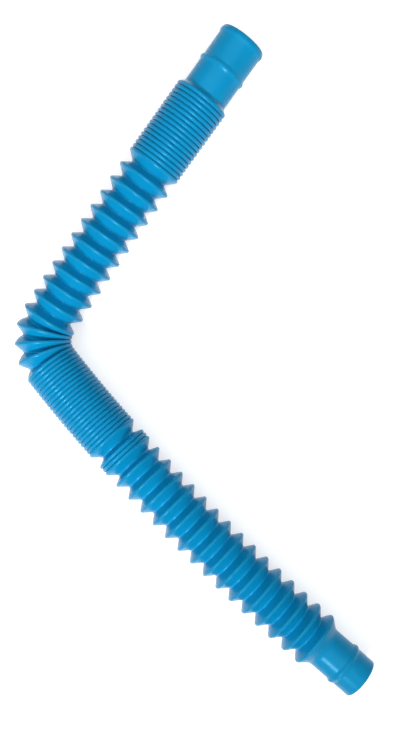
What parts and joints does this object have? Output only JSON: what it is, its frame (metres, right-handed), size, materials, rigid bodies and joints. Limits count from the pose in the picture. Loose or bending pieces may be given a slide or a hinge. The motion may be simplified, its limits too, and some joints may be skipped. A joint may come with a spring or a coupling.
{
  "type": "collapsible corrugated tube",
  "caption": "Collapsible corrugated plastic tube bent into a V, with open and closed snap-over rings, a beaded socket cuff at one end and a beaded plug cuff at the other.",
  "frame": {"origin": "middle of the mouth of the socket cuff's bore, on the tube's centreline", "axes": "+X runs down the socket's bore into the tube, +Z stands on the flat plane that the tube lies in, and the tube bends towards +Y"},
  "size_m": [0.2315, 0.2513, 0.029],
  "materials": {
    "blue_plastic": "satin gloss blue polypropylene, as it leaves the mould"
  },
  "bodies": {
    "upper_cuff": {"upper_cuff": "blue_plastic", "upper_pack_1": "blue_plastic"},
    "upper_pack_2": {"upper_pack_2": "blue_plastic"},
    "upper_pack_3": {"upper_pack_3": "blue_plastic"},
    "upper_pack_4": {"upper_pack_4": "blue_plastic"},
    "upper_pack_5": {"upper_pack_5": "blue_plastic"},
    "upper_ring_1": {"upper_ring_1": "blue_plastic", "upper_folds_1": "blue_plastic"},
    "upper_ring_2": {"upper_ring_2": "blue_plastic"},
    "upper_ring_3": {"upper_ring_3": "blue_plastic", "upper_folds_2": "blue_plastic"},
    "upper_ring_4": {"upper_ring_4": "blue_plastic"},
    "upper_ring_5": {"upper_ring_5": "blue_plastic", "upper_folds_3": "blue_plastic"},
    "upper_ring_6": {"upper_ring_6": "blue_plastic"},
    "upper_ring_7": {"upper_ring_7": "blue_plastic", "upper_folds_4": "blue_plastic"},
    "upper_ring_8": {"upper_ring_8": "blue_plastic"},
    "upper_ring_9": {"upper_ring_9": "blue_plastic", "upper_folds_5": "blue_plastic"},
    "upper_ring_10": {"upper_ring_10": "blue_plastic"},
    "upper_ring_11": {"upper_ring_11": "blue_plastic", "upper_folds_6": "blue_plastic"},
    "bend_ring_1": {"bend_ring_1": "blue_plastic"},
    "bend_ring_2": {"bend_ring_2": "blue_plastic", "bend_folds": "blue_plastic"},
    "bend_ring_3": {"bend_ring_3": "blue_plastic"},
    "long_pack_1": {"long_pack_1": "blue_plastic", "bend_end_fold": "blue_plastic"},
    "long_pack_2": {"long_pack_2": "blue_plastic"},
    "long_pack_3": {"long_pack_3": "blue_plastic"},
    "long_pack_4": {"long_pack_4": "blue_plastic"},
    "long_pack_5": {"long_pack_5": "blue_plastic"},
    "long_pack_6": {"long_pack_6": "blue_plastic"},
    "short_pack": {"short_pack": "blue_plastic", "short_pack_folds": "blue_plastic"},
    "lower_ring_1": {"lower_ring_1": "blue_plastic"},
    "lower_ring_2": {"lower_ring_2": "blue_plastic", "lower_folds_1": "blue_plastic"},
    "lower_ring_3": {"lower_ring_3": "blue_plastic"},
    "lower_ring_4": {"lower_ring_4": "blue_plastic", "lower_folds_2": "blue_plastic"},
    "lower_ring_5": {"lower_ring_5": "blue_plastic"},
    "lower_ring_6": {"lower_ring_6": "blue_plastic", "lower_folds_3": "blue_plastic"},
    "lower_ring_7": {"lower_ring_7": "blue_plastic"},
    "lower_ring_8": {"lower_ring_8": "blue_plastic", "lower_folds_4": "blue_plastic"},
    "lower_ring_9": {"lower_ring_9": "blue_plastic"},
    "lower_ring_10": {"lower_ring_10": "blue_plastic", "lower_folds_5": "blue_plastic"},
    "lower_ring_11": {"lower_ring_11": "blue_plastic"},
    "lower_ring_12": {"lower_ring_12": "blue_plastic", "lower_folds_6": "blue_plastic"},
    "lower_ring_13": {"lower_ring_13": "blue_plastic"},
    "lower_ring_14": {"lower_ring_14": "blue_plastic", "lower_folds_7": "blue_plastic"},
    "lower_cuff": {"lower_cuff": "blue_plastic"}
  },
  "joints": [
    {"name": "bend_ring_1_bend", "type": "hinge", "parent": "upper_ring_11", "child": "bend_ring_1", "pos_m": [0.17277, 0.00251, 0], "axis": [0, 0, -1], "range_deg": [0, 36.2], "deforming": ["upper_folds_6"]},
    {"name": "bend_ring_2_bend", "type": "hinge", "parent": "bend_ring_1", "child": "bend_ring_2", "pos_m": [0.17874, 0.0048, 0], "axis": [0, 0, -1], "range_deg": [0, 36.2], "deforming": ["bend_folds"]},
    {"name": "bend_ring_3_bend", "type": "hinge", "parent": "bend_ring_2", "child": "bend_ring_3", "pos_m": [0.18371, 0.00883, 0], "axis": [0, 0, -1], "range_deg": [0, 36.2], "deforming": ["bend_folds"]},
    {"name": "long_pack_1_bend", "type": "hinge", "parent": "bend_ring_3", "child": "long_pack_1", "pos_m": [0.18718, 0.01421, 0], "axis": [0, 0, -1], "range_deg": [0, 36.2], "deforming": ["bend_end_fold"]},
    {"name": "upper_pack_2_slide", "type": "slide", "parent": "upper_cuff", "child": "upper_pack_2", "axis": [1, 0, 0], "range_m": [0, 0.00621]},
    {"name": "upper_pack_3_slide", "type": "slide", "parent": "upper_pack_2", "child": "upper_pack_3", "axis": [1, 0, 0], "range_m": [0, 0.00621]},
    {"name": "upper_pack_4_slide", "type": "slide", "parent": "upper_pack_3", "child": "upper_pack_4", "axis": [1, 0, 0], "range_m": [0, 0.00621]},
    {"name": "upper_pack_5_slide", "type": "slide", "parent": "upper_pack_4", "child": "upper_pack_5", "axis": [1, 0, 0], "range_m": [0, 0.00621]},
    {"name": "long_pack_2_slide", "type": "slide", "parent": "long_pack_1", "child": "long_pack_2", "axis": [0.2418, 0.9703, 0], "range_m": [0, 0.0066]},
    {"name": "long_pack_3_slide", "type": "slide", "parent": "long_pack_2", "child": "long_pack_3", "axis": [0.229, 0.9734, 0], "range_m": [0, 0.0066]},
    {"name": "long_pack_4_slide", "type": "slide", "parent": "long_pack_3", "child": "long_pack_4", "axis": [0.2163, 0.9763, 0], "range_m": [0, 0.0066]},
    {"name": "long_pack_5_slide", "type": "slide", "parent": "long_pack_4", "child": "long_pack_5", "axis": [0.2035, 0.9791, 0], "range_m": [0, 0.0066]},
    {"name": "long_pack_6_slide", "type": "slide", "parent": "long_pack_5", "child": "long_pack_6", "axis": [0.1906, 0.9817, 0], "range_m": [0, 0.0066]},
    {"name": "short_pack_slide", "type": "slide", "parent": "long_pack_6", "child": "short_pack", "axis": [0.1826, 0.9832, 0], "range_m": [-0.00555, 0], "deforming": ["short_pack_folds"]},
    {"name": "lower_cuff_slide", "type": "slide", "parent": "lower_ring_14", "child": "lower_cuff", "axis": [0.0605, 0.9982, 0], "range_m": [-0.0066, 0], "deforming": ["lower_folds_7"]},
    {"name": "upper_ring_1_slide", "type": "slide", "parent": "upper_pack_5", "child": "upper_ring_1", "axis": [1, 0.0045, 0], "range_m": [-0.00621, 0], "deforming": ["upper_folds_1"]},
    {"name": "upper_ring_2_slide", "type": "slide", "parent": "upper_ring_1", "child": "upper_ring_2", "axis": [1, 0.0091, 0], "range_m": [-0.00621, 0], "deforming": ["upper_folds_1"]},
    {"name": "upper_ring_3_slide", "type": "slide", "parent": "upper_ring_2", "child": "upper_ring_3", "axis": [0.9999, 0.0136, 0], "range_m": [-0.00621, 0], "deforming": ["upper_folds_2"]},
    {"name": "upper_ring_4_slide", "type": "slide", "parent": "upper_ring_3", "child": "upper_ring_4", "axis": [0.9998, 0.0182, 0], "range_m": [-0.00621, 0], "deforming": ["upper_folds_2"]},
    {"name": "upper_ring_5_slide", "type": "slide", "parent": "upper_ring_4", "child": "upper_ring_5", "axis": [0.9997, 0.0227, 0], "range_m": [-0.00621, 0], "deforming": ["upper_folds_3"]},
    {"name": "upper_ring_6_slide", "type": "slide", "parent": "upper_ring_5", "child": "upper_ring_6", "axis": [0.9996, 0.0272, 0], "range_m": [-0.00621, 0], "deforming": ["upper_folds_3"]},
    {"name": "upper_ring_7_slide", "type": "slide", "parent": "upper_ring_6", "child": "upper_ring_7", "axis": [0.9995, 0.0318, 0], "range_m": [-0.00621, 0], "deforming": ["upper_folds_4"]},
    {"name": "upper_ring_8_slide", "type": "slide", "parent": "upper_ring_7", "child": "upper_ring_8", "axis": [0.9993, 0.0363, 0], "range_m": [-0.00621, 0], "deforming": ["upper_folds_4"]},
    {"name": "upper_ring_9_slide", "type": "slide", "parent": "upper_ring_8", "child": "upper_ring_9", "axis": [0.9992, 0.0408, 0], "range_m": [-0.00621, 0], "deforming": ["upper_folds_5"]},
    {"name": "upper_ring_10_slide", "type": "slide", "parent": "upper_ring_9", "child": "upper_ring_10", "axis": [0.999, 0.0454, 0], "range_m": [-0.00621, 0], "deforming": ["upper_folds_5"]},
    {"name": "upper_ring_11_slide", "type": "slide", "parent": "upper_ring_10", "child": "upper_ring_11", "axis": [0.9988, 0.0499, 0], "range_m": [-0.00621, 0], "deforming": ["upper_folds_6"]},
    {"name": "lower_ring_1_slide", "type": "slide", "parent": "short_pack", "child": "lower_ring_1", "axis": [0.1745, 0.9847, 0], "range_m": [-0.00555, 0], "deforming": ["short_pack_folds"]},
    {"name": "lower_ring_2_slide", "type": "slide", "parent": "lower_ring_1", "child": "lower_ring_2", "axis": [0.1664, 0.9861, 0], "range_m": [-0.0066, 0], "deforming": ["lower_folds_1"]},
    {"name": "lower_ring_3_slide", "type": "slide", "parent": "lower_ring_2", "child": "lower_ring_3", "axis": [0.1583, 0.9874, 0], "range_m": [-0.0066, 0], "deforming": ["lower_folds_1"]},
    {"name": "lower_ring_4_slide", "type": "slide", "parent": "lower_ring_3", "child": "lower_ring_4", "axis": [0.1502, 0.9887, 0], "range_m": [-0.0066, 0], "deforming": ["lower_folds_2"]},
    {"name": "lower_ring_5_slide", "type": "slide", "parent": "lower_ring_4", "child": "lower_ring_5", "axis": [0.1421, 0.9899, 0], "range_m": [-0.0066, 0], "deforming": ["lower_folds_2"]},
    {"name": "lower_ring_6_slide", "type": "slide", "parent": "lower_ring_5", "child": "lower_ring_6", "axis": [0.134, 0.991, 0], "range_m": [-0.0066, 0], "deforming": ["lower_folds_3"]},
    {"name": "lower_ring_7_slide", "type": "slide", "parent": "lower_ring_6", "child": "lower_ring_7", "axis": [0.1259, 0.992, 0], "range_m": [-0.0066, 0], "deforming": ["lower_folds_3"]},
    {"name": "lower_ring_8_slide", "type": "slide", "parent": "lower_ring_7", "child": "lower_ring_8", "axis": [0.1177, 0.993, 0], "range_m": [-0.0066, 0], "deforming": ["lower_folds_4"]},
    {"name": "lower_ring_9_slide", "type": "slide", "parent": "lower_ring_8", "child": "lower_ring_9", "axis": [0.1096, 0.994, 0], "range_m": [-0.0066, 0], "deforming": ["lower_folds_4"]},
    {"name": "lower_ring_10_slide", "type": "slide", "parent": "lower_ring_9", "child": "lower_ring_10", "axis": [0.1014, 0.9948, 0], "range_m": [-0.0066, 0], "deforming": ["lower_folds_5"]},
    {"name": "lower_ring_11_slide", "type": "slide", "parent": "lower_ring_10", "child": "lower_ring_11", "axis": [0.0932, 0.9956, 0], "range_m": [-0.0066, 0], "deforming": ["lower_folds_5"]},
    {"name": "lower_ring_12_slide", "type": "slide", "parent": "lower_ring_11", "child": "lower_ring_12", "axis": [0.0851, 0.9964, 0], "range_m": [-0.0066, 0], "deforming": ["lower_folds_6"]},
    {"name": "lower_ring_13_slide", "type": "slide", "parent": "lower_ring_12", "child": "lower_ring_13", "axis": [0.0769, 0.997, 0], "range_m": [-0.0066, 0], "deforming": ["lower_folds_6"]},
    {"name": "lower_ring_14_slide", "type": "slide", "parent": "lower_ring_13", "child": "lower_ring_14", "axis": [0.0687, 0.9976, 0], "range_m": [-0.0066, 0], "deforming": ["lower_folds_7"]}
  ]
}
